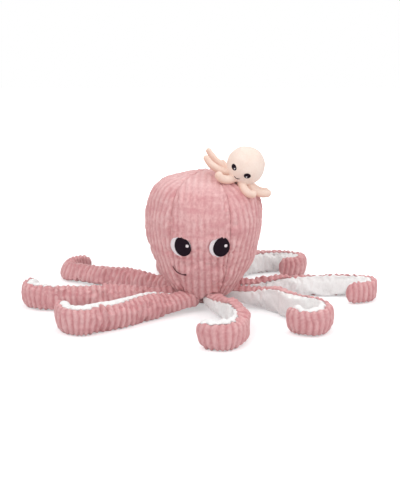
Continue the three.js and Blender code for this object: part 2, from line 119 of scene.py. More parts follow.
BABY_MOUTH_TAPER = [(0, 0.1), (0.1, 0.5), (0.9, 0.5), (1, 0.1)]
BABY_SEAM_TURN, BABY_SEAM = 12, (0.35, 0.7)

# Cloth: worn ribs of the brow, painted light on the crown, painted shade on the tentacles
RIB_PITCH, HEAD_RIB_PITCH, HEAD_RIB_SHIFT, RIB_POWER = 9, 9.7, -1.5, 0.75
WORN_LOW, WORN_RUN, WORN_SPREAD, WORN_SHARE, WORN_LEVEL, WORN_MOST = 98, 34, 42, 0.6, 0.6, 1.3
CROWN_PAINTED_LIGHT, PALE_LOW, PALE_RUN, LIMB_PAINTED_SHADE = 0.22, 176, 18, 0.17
# Turn of the lower seam below the lining's middle
LOWER_SEAM = 84
# Meshes: rows, columns and the coarser columns behind
GORE_ROWS, GORE_COLUMNS, GORE_DEEP = 190, 92, 6
LIMB_STEP, LIMB_ROOT_ROWS, LIMB_TIP_ROWS, ROOT_CAP, TIP_CAP = 0.9, 12, 24, 14, 84
COVER_COLUMNS, COVER_DEEP, LINING_COLUMNS, LINING_DEEP = 44, 6, 24, 4
SLOPE_STEP, OUTLINE_STEPS, SPAN_STEPS = HEAD_WIDTH / 1000, 900, 60
# Puffing: grids of the skins, start inside the plain shape, most that a move may be
PUFF_GRID, PUFF_START, PUFF_CAP = 6, -1.1, 2.8
HEAD_PUFF_START, HEAD_PUFF_CAP, OUTLINE_SHARE = -1.8, 1.7, 1.6
GORE_CELLS, COVER_CELLS, LINING_CELLS, LIMB_ROWS = 15, 12, 7, 6
PUFF_FRAMES, PUFF_PRESSURE, PUFF_EXTRA, PUFF_QUALITY = 20, 4, 0.05, 4
# What is held while it puffs: seams, the head below a height, a limb's root; the crown stays free
SEAM_PIN, BASE_HELD, CROWN_FREE, ROOT_HELD = 0.9, 30, 20, 20
FREE_LOW, FREE_RUN, ROOT_FREE = 18, 25, 18
EYE_FREE, MOUTH_FREE, SEAT_FREE = (1, 6), (2, 9), (0.8, 12)
# Uneven stuffing of the head: turn from the face, height, how wide each way, how far out
HEAD_LUMPS = [(-40, 190, 45, 18, 3.2), (-95, 102, 35, 22, 2.8), (-95, 50, 40, 15, -2.8),
              (92, 44, 40, 18, -2.8), (92, 112, 35, 20, -1.2), (-95, 140, 30, 20, -0.8)]
# Unevenness in layers: how high, how wide, first seed
LUMP_COUNT, LUMP_SPREAD = 14, (1.4, 3)
GORE_WOBBLE, GORE_SWELL = [(0.5, 34, 40), (0.25, 14, 50)], [(0.9, 42, 7), (0.4, 18, 8)]
GORE_RIBS, GORE_PILE, GORE_WEAR = [(0.1, 11, 60)], [(0.16, 3.4, 70)], [(0.35, 22, 30)]
GORE_PUCKERS, EYE_LUMPS = [(0.35, 7, 80)], [(1, 9, 90)]
COVER_WOBBLE, COVER_RIBS = [(1.1, 26, 100), (0.45, 11, 120)], [(0.14, 13, 140)]
COVER_SWELL = [(0.55, 30, 160), (0.2, 3.4, 180)]
LINING_SWELL, LINING_FOLDS = [(0.45, 24, 200), (0.15, 4.5, 240)], [(1, 6.5, 220)]
BABY_SWELL, BABY_LIMB_SWELL = [(0.35, 16, 300), (0.12, 5, 301)], [(0.22, 9, 320)]
SEAM_WANDER, SEAM_STEADY = [(4.5, 5, 400), (2, 17, 401)], 5
# Ribs: valley, rise, usual share of the rise, then how they calm down at a seam or a tip
HEAD_RIBS, CALM_RUN, CALM_LEAST = (-0.95, 1.9, 0.92), 4, 0.35
LIMB_RIBS, FADE_FROM, FADE_RUN = (-1.45, 2.3, 0.9), 0.3, 0.5
FADED_LOW, TIP_RUN, ROOT_SLANT, SLANT_RUN = 0.2, 0.4, 16, 90
# Seams: depth and width of their lines, width and squeeze of the puckers, dip of a gore
GORE_LINE, COVER_LINE, LINING_LINE = (0.7, 1.6), (0.9, 2), (1, 1.8)
PUCKER_WIDTH, PUCKER_SQUEEZE, DIP_DEPTH, DIP_POWER = 5, 0.2, 0.9, 4
CROWN_RISE, CROWN_LOW, CROWN_RUN, CROWN_SINK = 1.6, 150, 35, 0.5
SEAM_TRIM, FOLD_SQUEEZE, FOLD_EDGE = 0.6, 0.25, 6
FOLD_LEAST, FOLD_CURL, CURL_SCALE = 0.12, 0.75, 26
# Eyes: sewn rim, groove beside it and welt over it, folds above and below
EYE_RIM, RIM_RUN, RIM_SINK, GROOVE, WELT = 1.2, 1.8, 0.5, (1, 2), (1.5, 1.6, 1.8)
UPRIGHT_SCALE, UPRIGHT_SHIFT = 2.2, 1.1
EYE_FOLD, EYE_FOLD_PITCH, EYE_FOLD_REACH, EYE_FOLD_SHIFT = 1.2, 6, 4.5, 2
SEAT_EDGE, SEAT_RUN, SEAT_SINK = 2, 2.5, 0.6
# The head's cloth gathered in and up at the bottom, and the tentacles' undersides near their roots
TUCK_TOP, TUCK_IN, TUCK_UP, UNDER_LIFT, UNDER_RUN = 26, 0.34, 8, 10, 80
# Room round the roots: for the outer and inner cloth, how far along, which way the cloth gives
SOCKET_OUTER, SOCKET_INNER, SOCKET_RUN, SOCKET_SWELL = 0.4, 3, 60, 90
SOCKET_IN, SOCKET_UP = 0.9, 0.5
# Depth of the cloth: gores, covers, linings; lowest heights of the outer and inner cloth
GORE_DEPTH, EDGE_DEPTH, THIN_RUN, LEAST_DEPTH = 3.6, 0.9, 14, 0.6
COVER_WALL, LINING_WALL = (3, 0.35), (3.2, 0.4)
HEAD_LOWS, LIMB_LOWS = (0.4, 0.6), (0.25, 0.5)
# Shares of the ribs' painted valley shade kept at the seams and at the tentacles' ends; the lining's
# share of its girth for the cloth's texture
RIB_SHOWN, LIMB_RIB_SHOWN, LINING_SHARE = 0.6, 0.3, 0.8
# Base panel and eye patches, ring by ring: share of the radius, then height or level
BASE_SIDES, BASE_TRIM = 96, 0.2
BASE_RINGS = [(0.02, 0.5), (0.3, 0.6), (0.6, 2.2), (0.85, 5.5), (0.97, 8), (1, 9.2), (0.97, 10.4),
              (0.6, 6), (0.02, 3)]
PATCH_RINGS = [(0.02, 1), (0.25, 1), (0.5, 0.98), (0.7, 0.95), (0.84, 0.98), (0.93, 0.9),
               (0.98, 0.6), (1, 0.2), (1, -0.6)]


# ---- small tools
def smooth(share):
    share = np.clip(share, 0, 1)
    return share * share * (3 - 2 * share)


def near(gap, width):
    """1 where the gap is nothing, fading to 0 over about two widths."""
    return np.exp(-(gap / width) ** 2)


def size_of(vectors):
    return np.linalg.norm(vectors, axis=-1)


def lumps(points, size, seed):
    """Soft unevenness of about unit height, with hills of about the given size."""
    rng = np.random.default_rng(seed)
    total = np.zeros(points.shape[:-1])
    for _ in range(LUMP_COUNT):
        way = rng.normal(size=points.shape[-1])
        way *= 2 * math.pi / (size * rng.uniform(*LUMP_SPREAD)) / np.linalg.norm(way)
        total += np.sin(points @ way + rng.uniform(0, 2 * math.pi))
    return total / math.sqrt(LUMP_COUNT / 2)


def layered(points, layers, seed=0):
    """Unevenness of several sizes, one layer for each."""
    return sum(height * lumps(points, size, first + seed) for height, size, first in layers)


def rib_wave(phase):
    """Height of a rib from 0 in the valley to 1 on the ridge."""
    return (0.5 + 0.5 * np.cos(2 * np.pi * phase)) ** RIB_POWER


def relief(rib, form, points, layers, seed):
    """Height of ribbed cloth; its form says the valley, the rise and its usual share."""
    low, rise, share = form
    return low + rise * rib * (share + layered(points, layers, seed))


def polar(radius, turn, height):
    turn = np.radians(turn)
    return np.stack(np.broadcast_arrays(radius * np.cos(turn), radius * np.sin(turn), height), -1)


def run_along(steps):
    """Distance from the start after each step."""
    return np.concatenate([[0], np.cumsum(steps)])


def circle(count):
    """Cosines and sines of even turns."""
    angle = np.linspace(0, 2 * math.pi, count, endpoint=False)
    return np.cos(angle), np.sin(angle)


def tangents(points):
    """Unit directions along a row of points."""
    ahead = np.gradient(points, axis=0)
    return ahead / size_of(ahead)[:, None]


def curve(p0, p1, p2, p3, t):
    """A smooth curve between the two middle points."""
    return 0.5 * (2 * p1 + (p2 - p0) * t + (2 * p0 - 5 * p1 + 4 * p2 - p3) * t**2
                  + (3 * p1 - p0 - 3 * p2 + p3) * t**3)


def spline(points, count):
    """Points at even steps along a smooth curve through the given ones, and its length."""
    points = np.asarray(points, float)
    ends = np.vstack([2 * points[0] - points[1], points, 2 * points[-1] - points[-2]])
    fine = []
    for k in range(len(points) - 1):
        t = np.linspace(0, 1, SPAN_STEPS, endpoint=k == len(points) - 2)[:, None]
        fine.append(curve(*ends[k:k + 4], t))
    fine = np.vstack(fine)
    run = run_along(size_of(np.diff(fine, axis=0)))
    even = np.linspace(0, run[-1], count)
    return np.stack([np.interp(even, run, fine[:, k]) for k in range(3)], -1), run[-1]


# ---- meshes
def in_scene(name, data):
    obj = bpy.data.objects.new(name, data)
    scene.collection.objects.link(obj)
    return obj


def ring_mesh(name, rings, material, marks=None):
    """A closed body from rings of points in millimetres; marks are values at them for the shader."""
    rows, count = rings.shape[:2]
    points = rings.reshape(-1, 3)
    i, j = np.arange(rows - 1)[:, None] * count, np.arange(count)
    nxt = (j + 1) % count
    quads = np.stack([i + j, i + nxt, i + count + nxt, i + count + j], -1).reshape(-1, 4)
    last = (rows - 1) * count
    faces = quads.tolist() + [list(range(count))[::-1], list(range(last, last + count))]
    a, b, c, d = points[quads.T]
    if (a * np.cross(b - d, c)).sum() < 0:
        faces = [f[::-1] for f in faces]
    mesh = bpy.data.meshes.new(name)
    mesh.from_pydata((points * MM).tolist(), [], faces)
    mesh.polygons.foreach_set("use_smooth", [True] * len(mesh.polygons))
    for key, values in (marks or {}).items():
        values = np.asarray(values, float)
        kind, field = ("FLOAT", "value") if values.ndim == 2 else ("FLOAT_VECTOR", "vector")
        mesh.attributes.new(key, kind, "POINT").data.foreach_set(field, values.ravel())
    mesh.update()
    if material:
        mesh.materials.append(material)
    return in_scene(name, mesh)


def shell(name, outer, inner, material, rib=None, cloth=None, shade=0, pale=None):
    """A strip of cloth with a thickness, from its outer rows and its coarser inner rows."""
    deep = inner.shape[1]
    rings = np.concatenate([outer, inner[:, ::-1]], 1)
    # Marks for the shader: the rib's depth for the ribs' painted valley shade, the place in the
    # cloth, painted light on the crown, and painted shade over a tentacle's cover as deep
    marks = {}
    for key, values in (("rib", rib), ("cloth", cloth), ("pale", pale)):
        if values is not None:
            behind = np.repeat(values[:, -1:], deep, 1) * (key != "rib")
            marks[key] = np.concatenate([values, behind], 1)
    marks["deep"] = np.full(rings.shape[:2], shade)
    return ring_mesh(name, rings, material, marks)


def tube(name, points, radii, material, sides):
    """A tube round a row of points with a radius at each one."""
    cos, sin = circle(sides)
    ways = tangents(points)
    side = np.cross(ways[0], [0, 0, 1])
    rings = []
    for p, way, r in zip(points, ways, radii):
        side = side - way * (side @ way)
        side /= np.linalg.norm(side)
        rings.append(p + r * (cos[:, None] * side + sin[:, None] * np.cross(way, side)))
    return ring_mesh(name, np.array(rings), material)


def round_ends(radius_start, radius_end, length, count, least=0.03):
    """Radii of a round-ended tube."""
    run = np.linspace(0, length, count)
    full = np.linspace(radius_start, radius_end, count)
    inside = np.clip(np.minimum(run, length - run) / full, 0, 1)
    return full * np.maximum(np.sqrt(1 - (1 - inside) ** 2), least)


def dress(piece, slot, *nodes, body=None, fill=None):
    """Puts a piece on the body that it rides on and hides the solids that it stands for; the slot
    and how full it is are not used.
    """
    if body:
        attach(piece, body)
    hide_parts(*nodes)


def skin(name, rings, pins):
    """A closed coarse skin with Blender's cloth on it, held where the pins say."""
    obj = ring_mesh(name, rings, None)
    group = obj.vertex_groups.new(name="held")
    for index, pin in enumerate(pins.ravel()):
        if pin > 0:
            group.add([index], float(pin), "REPLACE")
    cloth = obj.modifiers.new("puff", "CLOTH")
    cloth.settings.quality = PUFF_QUALITY
    cloth.settings.use_pressure = True
    cloth.settings.uniform_pressure_force = PUFF_PRESSURE
    cloth.settings.shrink_min = -PUFF_EXTRA
    cloth.settings.vertex_group_mass = "held"
    cloth.settings.effector_weights.gravity = 0
    cloth.collision_settings.use_collision = False
    cloth.point_cache.frame_start, cloth.point_cache.frame_end = 1, PUFF_FRAMES
    return obj


def puffed(skins):
    """How far each skin's cloth ends up from its plain shape when the stuffing presses it out."""
    moves = {key: np.zeros_like(full) for key, (_, _, full) in skins.items()}
    for step in range(1, PUFF_FRAMES + 1):
        scene.frame_set(step)
    graph = bpy.context.evaluated_depsgraph_get()
    for key, (obj, start, full) in skins.items():
        moved = obj.evaluated_get(graph).data
        places = np.empty(len(moved.vertices) * 3)
        moved.vertices.foreach_get("co", places)
        move = places.reshape(start.shape) / MM - start
        cap = HEAD_PUFF_CAP if key == "head" else PUFF_CAP
        share = np.minimum(1, cap / np.maximum(size_of(move), 0.01))
        moves[key] = start + move * share[..., None] - full
    for obj, _, _ in skins.values():
        bpy.data.objects.remove(obj)
    scene.frame_set(1)
    return moves


def between(grid, places):
    """Rows of a coarse grid at fractional places, by a smooth curve through them."""
    first = np.clip(np.floor(places).astype(int), 0, len(grid) - 2)
    rows = (grid[np.clip(first + k, 0, len(grid) - 1)] for k in (-1, 0, 1, 2))
    return curve(*rows, (places - first).reshape(-1, 1, 1))


def finer(grid, rows, columns):
    """A coarse grid of moves at the fine mesh's rows and columns."""
    tall = between(grid, rows)
    return between(tall.transpose(1, 0, 2), columns).transpose(1, 0, 2)


# ---- materials
def srgb(red, green, blue):
    values = [c / 255 for c in (red, green, blue)]
    linear = [c / 12.92 if c <= 0.04045 else ((c + 0.055) / 1.055) ** 2.4 for c in values]
    return (*linear, 1)


class Nodes:
    """A few short calls for building the nodes of a material or world."""

    def __init__(self, owner):
        self.owner = owner
        owner.use_nodes = True
        self.tree = owner.node_tree

    def add(self, kind, links=None, **settings):
        node = self.tree.nodes.new(kind)
        for key, value in settings.items():
            setattr(node, key, value)
        for key, value in (links or {}).items():
            self.put(node.inputs[key], value)
        return node

    def put(self, socket, value):
        if isinstance(value, bpy.types.NodeSocket):
            self.tree.links.new(value, socket)
        else:
            socket.default_value = value

    def attribute(self, name, output="Fac"):
        return self.add("ShaderNodeAttribute", attribute_name=name).outputs[output]

    def noise(self, vector, scale, detail=3, rough=0.6):
        """Noise at a scale, or at a scale for each way."""
        if isinstance(scale, tuple):
            links = {0: vector, 1: scale}
            vector = self.add("ShaderNodeVectorMath", links, operation="MULTIPLY").outputs[0]
            scale = 1
        links = {"Vector": vector, "Scale": scale, "Detail": detail, "Roughness": rough}
        return self.add("ShaderNodeTexNoise", links).outputs["Fac"]

    def remap(self, value, low, high, to_low=0, to_high=1):
        links = {"Value": value, "From Min": low, "From Max": high, "To Min": to_low,
                 "To Max": to_high}
        return self.add("ShaderNodeMapRange", links).outputs["Result"]

    def math(self, kind, first, second):
        return self.add("ShaderNodeMath", {0: first, 1: second}, operation=kind).outputs[0]

    def mix(self, share, first, second):
        links = {0: share, 6: first, 7: second}
        return self.add("ShaderNodeMix", links, data_type="RGBA").outputs[2]

    def bump(self, height, distance, strength):
        links = {"Height": height, "Distance": distance, "Strength": strength}
        return self.add("ShaderNodeBump", links).outputs["Normal"]

    def seen(self):
        """1 for rays that show the stage itself, 0 for those that light the toy."""
        path = self.add("ShaderNodeLightPath").outputs
        rays = self.math("MAXIMUM", path["Is Camera Ray"], path["Is Glossy Ray"])
        return self.math("MAXIMUM", rays, path["Is Transmission Ray"])

    def finish(self, color, normal, **constants):
        shader = self.tree.nodes["Principled BSDF"]
        self.put(shader.inputs["Base Color"], color)
        self.put(shader.inputs["Normal"], normal)
        for key, value in constants.items():
            shader.inputs[key.replace("_", " ")].default_value = value
        return self.owner


def plush_nodes(name):
    """A new material's nodes and the place in its cloth, in millimetres."""
    m = Nodes(bpy.data.materials.new(name))
    return m, m.attribute("cloth", "Vector")


def ribbed_plush():
    m, cloth = plush_nodes("pink_ribbed")
    patches = m.noise(cloth, 0.03, rough=0.55)
    rubs = m.noise(cloth, (0.022, 0.09, 0.05))
    mottle = m.noise(cloth, (0.3, 0.16, 0.3), rough=0.65)
    fibres = m.noise(cloth, 0.9)
    tufts = m.noise(cloth, (0.5, 0.22, 0.4))
    ridge = m.mix(m.remap(patches, 0.35, 0.65), srgb(228, 173, 174), srgb(237, 193, 192))
    # The rib's depth darkens the valleys towards the valley colour: painted shade in the grooves
    # between the ribs
    depth = m.math("ADD", m.attribute("rib"), m.remap(tufts, 0.3, 0.7, -0.2, 0.2))
    color = m.mix(m.remap(depth, 0, 0.85), srgb(208, 144, 146), ridge)
    # Random mottles, rubs and fibres; then the pale mark gives the crown painted light and the deep
    # mark gives the tentacles painted shade
    for share, tint in ((m.remap(mottle, 0.36, 0.52, 0.34, 0), (203, 136, 140)),
                        (m.remap(mottle, 0.5, 0.68, 0, 0.4), (243, 203, 202)),
                        (m.remap(rubs, 0.5, 0.63, 0, 0.5), (209, 142, 146)),
                        (m.remap(fibres, 0.5, 0.75, 0, 0.25), (246, 210, 208)),
                        (m.attribute("pale"), (249, 222, 220)),
                        (m.attribute("deep"), (192, 126, 131))):
        color = m.mix(share, color, srgb(*tint))
    fine = m.add("ShaderNodeBump", {"Height": fibres, "Distance": 0.0006, "Strength": 0.55,
                                    "Normal": m.bump(tufts, 0.0014, 0.7)}).outputs["Normal"]
    return m.finish(color, fine, Roughness=0.92, Sheen_Weight=0.5, Sheen_Roughness=0.45,
                    Sheen_Tint=srgb(250, 225, 222), Specular_IOR_Level=0.2)


def short_plush(name, base, shade, pale, warm, size=0.5):
    m, cloth = plush_nodes(name)
    patches = m.noise(cloth, 0.06, rough=0.55)
    fibres = m.noise(cloth, size, 4)
    color = m.mix(m.remap(patches, 0.35, 0.7), base, pale)
    color = m.mix(m.remap(fibres, 0.25, 0.55, 0.55, 0), color, shade)
    # The warm mark, only on the baby's limbs: a warmer tone, and painted shade with reflected pink
    # under them
    color = m.mix(m.attribute("warm"), color, warm)
    normal = m.bump(fibres, 0.0007, 0.5)
    return m.finish(color, normal, Roughness=0.93, Sheen_Weight=0.3, Sheen_Roughness=0.5,
                    Specular_IOR_Level=0.2)


def stitched(name, base, shade, gloss):
    m, cloth = plush_nodes(name)
    rows = m.add("ShaderNodeTexWave", {"Vector": cloth, "Scale": 0.55, "Distortion": 0.8,
                                       "Detail": 2, "Detail Scale": 0.6},
                 bands_direction="Y").outputs["Fac"]
    spots = m.noise(cloth, 0.25)
    color = m.mix(m.remap(rows, 0, 0.5, 0.6, 0), base, shade)
    color = m.mix(m.remap(spots, 0.4, 0.7, 0, 0.25), color, shade)
    normal = m.bump(rows, 0.0003, 0.5)
    return m.finish(color, normal, Roughness=gloss, Specular_IOR_Level=0.12, Sheen_Weight=0.01,
                    Sheen_Roughness=0.4)


def woven(name, base, shade):
    m = Nodes(bpy.data.materials.new(name))
    place = m.add("ShaderNodeTexCoord").outputs["Object"]
    loops = m.add("ShaderNodeTexVoronoi", {"Vector": place, "Scale": 900}).outputs["Distance"]
    color = m.mix(m.remap(loops, 0.1, 0.6), shade, base)
    normal = m.bump(loops, 0.0006, 0.7)
    return m.finish(color, normal, Roughness=0.9, Specular_IOR_Level=0.25)


PINK = ribbed_plush()
WHITE = short_plush("white_lining", srgb(246, 246, 245), srgb(224, 222, 220), srgb(249, 249, 248),
                    srgb(240, 238, 236))
# The cream's last colour is the warm tone of the baby's limbs and of the painted shade under them
CREAM = short_plush("cream_baby", srgb(248, 226, 213), srgb(236, 205, 189), srgb(250, 232, 221),
                    srgb(240, 195, 174), 0.8)
EYE_WHITE = stitched("eye_white", srgb(247, 239, 242), srgb(226, 212, 217), 0.75)
EYE_BLACK = stitched("eye_black", srgb(28, 14, 25), srgb(36, 20, 32), 0.8)
THREAD = stitched("thread", srgb(52, 26, 32), srgb(84, 48, 54), 0.7)
TAPE = woven("patch_tape", srgb(236, 226, 218), srgb(196, 184, 176))


# ---- head
def head_radius(height):
    crown = height > CHEEK_HEIGHT
    reach = np.where(crown, HEAD_HEIGHT - CHEEK_HEIGHT, CHIN_DEPTH)
    power = np.where(crown, CROWN_POWER, CHIN_POWER)
    share = np.minimum(np.abs(height - CHEEK_HEIGHT) / reach, 1)
    return HEAD_WIDTH / 2 * (1 - share**power) ** (1 / power)


def head_point(turn, height, offset):
    slope = (head_radius(height + SLOPE_STEP) - head_radius(height - SLOPE_STEP)) / (2 * SLOPE_STEP)
    length = np.hypot(1, slope)
    return polar(head_radius(height) + offset / length, turn, height - offset * slope / length)


def head_outline(count):
    """Radius, height, outward normal and run at even steps up the head's outline, as columns."""
    low = np.linspace(BASE_THICKNESS + SEAM_GAP, CHEEK_HEIGHT, OUTLINE_STEPS)
    t = np.linspace(0, math.pi / 2, 2 * OUTLINE_STEPS)[1:]
    r = np.concatenate([head_radius(low), HEAD_WIDTH / 2 * np.cos(t) ** (2 / CROWN_POWER)])
    crown = CHEEK_HEIGHT + (HEAD_HEIGHT - CHEEK_HEIGHT) * np.sin(t) ** (2 / CROWN_POWER)
    z = np.concatenate([low, crown])
    keep = r >= CROWN_GAP
    r, z = r[keep], z[keep]
    run = run_along(np.hypot(np.diff(r), np.diff(z)))
    even = np.linspace(0, run[-1], count)
    r, z = np.interp(even, run, r), np.interp(even, run, z)
    dr, dz = np.gradient(r), np.gradient(z)
    size = np.hypot(dr, dz)
    return tuple(v[:, None] for v in (r, z, dz / size, -dr / size, even))


def root_and_ahead(name):
    """Middle of a tentacle's root and the level direction in which it leaves the head."""
    turn, heading = TENTACLES[name][:2]
    return polar(ROOT_CIRCLE, turn, ROOT_RADIUS + FLOOR_GAP + ROOT_LIFT), polar(1, heading, 0)


def sockets(points, room):
    """Cloth pressed away from the roots of the tentacles."""
    points = points.copy()
    for name in TENTACLES:
        root, ahead = root_and_ahead(name)
        along = np.clip((points - root) @ ahead, 0, SOCKET_RUN)
        radius = ROOT_RADIUS + room + (BODY_HEIGHT - ROOT_RADIUS) * smooth(along / SOCKET_SWELL)
        away = points - root - along[..., None] * ahead
        gap = size_of(away)
        inward = -points.copy()
        inward[..., 2] = 0
        inward /= np.maximum(size_of(inward), 1)[..., None]
        way = away / np.maximum(gap, 0.01)[..., None]
        way = way + SOCKET_IN * inward + [0, 0, SOCKET_UP]
        way /= size_of(way)[..., None]
        b = np.einsum("...k,...k->...", away, way)
        push = -b + np.sqrt(np.maximum(b * b + radius**2 - gap**2, 0))
        points += np.where(gap < radius, push, 0)[..., None] * way
    return points


EYES = [head_point(FACE_TURN + turn, EYE_HEIGHT, 0) for turn in EYE_TURNS.values()]
SEAT = head_point(FACE_TURN + SEAT_TURN, SEAT_HEIGHT, 0)
MOUTH = [head_point(FACE_TURN + t, h, 1) for t, h in zip(MOUTH_TURNS, MOUTH_HEIGHTS)]
# Places that stay as they are while the head puffs: how far round them, over which distance it ends
STILL = [(eye, EYE_RADIUS + EYE_FREE[0], EYE_FREE[1]) for eye in EYES]
STILL += [(stitch, *MOUTH_FREE) for stitch in MOUTH]
STILL += [(SEAT, SEAT_FREE[0] * BABY_RADIUS, SEAT_FREE[1])]


def head_skin():
    """The head's cloth as one coarse skin, held at its seams, base, eyes and seat."""
    r, z, nr, nz, _ = head_outline(int(HEAD_HEIGHT * OUTLINE_SHARE / PUFF_GRID))
    column = np.arange(GORE_CELLS * len(GORES))
    turn = FACE_TURN - GORE_HALF + 2 * GORE_HALF * column / GORE_CELLS
    start, full = (polar(r + lift * nr, turn, z + lift * nz) for lift in (HEAD_PUFF_START, 0))
    seam = (column % GORE_CELLS == 0) & (z < HEAD_HEIGHT - CROWN_FREE)
    pins = np.where(z < BASE_HELD, 1, np.where(seam, SEAM_PIN, 0))
    for spot, reach in [(eye, EYE_RADIUS) for eye in EYES] + [(SEAT, BABY_RADIUS)]:
        pins = np.where(size_of(full - spot) < reach, 1, pins)
    return skin("head_skin", start, pins), start, full


def tucked(points):
    """The head's cloth gathered in and up towards its base panel."""
    tuck = 1 - smooth(points[..., 2] / TUCK_TOP)
    points = points.copy()
    points[..., :2] *= 1 - TUCK_IN * tuck[..., None]
    points[..., 2] += TUCK_UP * tuck
    return points


def free_share(points):
    """1 where the head's cloth is free to puff, 0 at the sockets, eyes, mouth and seat."""
    free = smooth((points[..., 2] - FREE_LOW) / FREE_RUN)
    for spot, reach, run in STILL:
        free = free * smooth((size_of(points - spot) - reach) / run)
    return free


def lowered(layers, lows):
    """Outer and inner cloth kept above their lowest heights."""
    for points, low in zip(layers, lows):
        points[..., 2] = np.maximum(points[..., 2], low)
    return layers


def eye_relief(height, flat, across, eye):
    """Relief round an eye: flat below it, a groove beside it, a welt and folds over it."""
    away = size_of(flat - eye)
    upright = np.abs(flat[..., 2] - eye[2]) / np.maximum(away, 1)
    upright = smooth(upright * UPRIGHT_SCALE - UPRIGHT_SHIFT)
    rim = EYE_RADIUS + EYE_RIM - EYE_OVERLAP * upright
    under = smooth((rim - away) / RIM_RUN + 0.5)
    height = height * (1 - under) - RIM_SINK * under
    height -= GROOVE[0] * near(away - EYE_RADIUS - EYE_RIM, GROOVE[1]) * (1 - upright)
    height += WELT[0] * near(away - rim - WELT[1], WELT[2]) * upright
    place = across + EYE_FOLD_SHIFT * np.sign(across) + layered(flat, EYE_LUMPS)
    folds = np.cos(place * 2 * math.pi / EYE_FOLD_PITCH)
    reach = near(away - EYE_RADIUS - EYE_FOLD_REACH, EYE_FOLD_REACH)
    return height + EYE_FOLD * folds * reach * upright


def make_gore(name, middle, moves):
    r, z, nr, nz, run = head_outline(GORE_ROWS)
    column = np.linspace(-1, 1, GORE_COLUMNS)
    half = GORE_HALF - np.degrees(SEAM_GAP / 2 / r)
    turn = middle + column * half
    flat = polar(r, turn, z)
    across = np.radians(column * GORE_HALF) * r
    edge = np.radians(GORE_HALF) * r * (1 - np.abs(column))
    seed = GORES.index(name)

    shift = HEAD_RIB_SHIFT if name == "front" else 0
    rib = rib_wave((across + layered(flat, GORE_WOBBLE, seed) + shift) / HEAD_RIB_PITCH)
    calm = smooth(edge / CALM_RUN)
    aside = (turn - FACE_TURN + 180) % 360 - 180
    worn = smooth((z - WORN_LOW) / WORN_RUN) * near(aside, WORN_SPREAD)
    worn = WORN_SHARE * np.clip(worn * (1 + layered(flat, GORE_WEAR)), 0, WORN_MOST)
    rib = WORN_LEVEL + (rib - WORN_LEVEL) * (1 - worn)
    height = relief(rib, HEAD_RIBS, flat, GORE_RIBS, seed) + layered(flat, GORE_PILE, seed)
    height *= CALM_LEAST + (1 - CALM_LEAST) * calm
    seam_place = np.stack([run + 0 * column, edge * PUCKER_SQUEEZE, 0 * edge], -1)
    height += layered(seam_place, GORE_PUCKERS, seed) * near(edge, PUCKER_WIDTH)
    height += layered(flat, GORE_SWELL)
    height -= DIP_DEPTH * np.abs(column) ** DIP_POWER * (2 * r / HEAD_WIDTH)
    height -= GORE_LINE[0] * near(edge, GORE_LINE[1])
    height += CROWN_RISE * smooth((z - CROWN_LOW) / CROWN_RUN) - CROWN_SINK
    for lump_turn, lump_height, wide, tall, push in HEAD_LUMPS:
        height += push * near(aside - lump_turn, wide) * near(z - lump_height, tall)
    for eye in EYES:
        height = eye_relief(height, flat, across, eye)
    seated = smooth((SEAT_PATCH + SEAT_EDGE - size_of(flat - SEAT)) / SEAT_RUN)
    height = height * (1 - seated) - SEAT_SINK * seated

    outer = polar(r + height * nr, turn, z + height * nz)
    cells = (seed * GORE_CELLS + np.arange(GORE_CELLS + 1)) % (GORE_CELLS * len(GORES))
    coarse = moves["head"][:, cells]
    rows = np.linspace(0, len(coarse) - 1, GORE_ROWS)
    outer += finer(coarse, rows, (column + 1) / 2 * GORE_CELLS) * free_share(flat)[..., None]
    back = np.linspace(-1, 1, GORE_DEEP)
    depth = -(GORE_DEPTH + EDGE_DEPTH * np.abs(back)) * smooth(r / THIN_RUN) - LEAST_DEPTH
    inner = polar(r + depth * nr, middle + back * half, z + depth * nz)
    layers = sockets(tucked(outer), SOCKET_OUTER), sockets(tucked(inner), SOCKET_INNER)
    outer, inner = lowered(layers, HEAD_LOWS)
    cloth = np.stack([across + 140 * seed, run + 0 * across, 0 * across + 31 * seed], -1)
    # Painted light: the crown grows paler towards its top, as lit from above
    pale = CROWN_PAINTED_LIGHT * smooth((z - PALE_LOW) / PALE_RUN) + 0 * across
    # Less of the ribs' painted valley shade near the seams
    rib *= RIB_SHOWN + (1 - RIB_SHOWN) * calm
    obj = shell(f"head_gore_{name}_cloth", outer, inner, PINK, rib, cloth, pale=pale)
    nodes = [f"head_gore_{name}"] + (["head_filling"] if name == "front" else [])
    dress(obj, "pink_ribbed", *nodes, body="octopus_head", fill=0.9)


def make_base():
    """The panel that closes the head from below, domed, its edge turned up to the gores."""
    angle = np.linspace(0, 360, BASE_SIDES, endpoint=False)
    full = float(head_radius(BASE_THICKNESS)) * (1 - TUCK_IN)
    rings = np.array([polar(full * share - BASE_TRIM, angle, low) for share, low in BASE_RINGS])
    marks = {"rib": np.ones(rings.shape[:2]), "cloth": rings + 500}
    obj = ring_mesh("base_panel_cloth", rings, PINK, marks)
    dress(obj, "pink_ribbed", "base_panel", body="octopus_head")


# ---- tentacles
def section(angle, half_height, half_thickness):
    across, along = np.cos(np.radians(angle)), np.sin(np.radians(angle))
    side = np.where(across > 0, LINING_FLAT, BACK_ROUND)
    return (np.sign(across) * np.abs(across) ** SECTION_POWER * half_thickness * side,
            np.sign(along) * np.abs(along) ** SECTION_POWER * half_height)


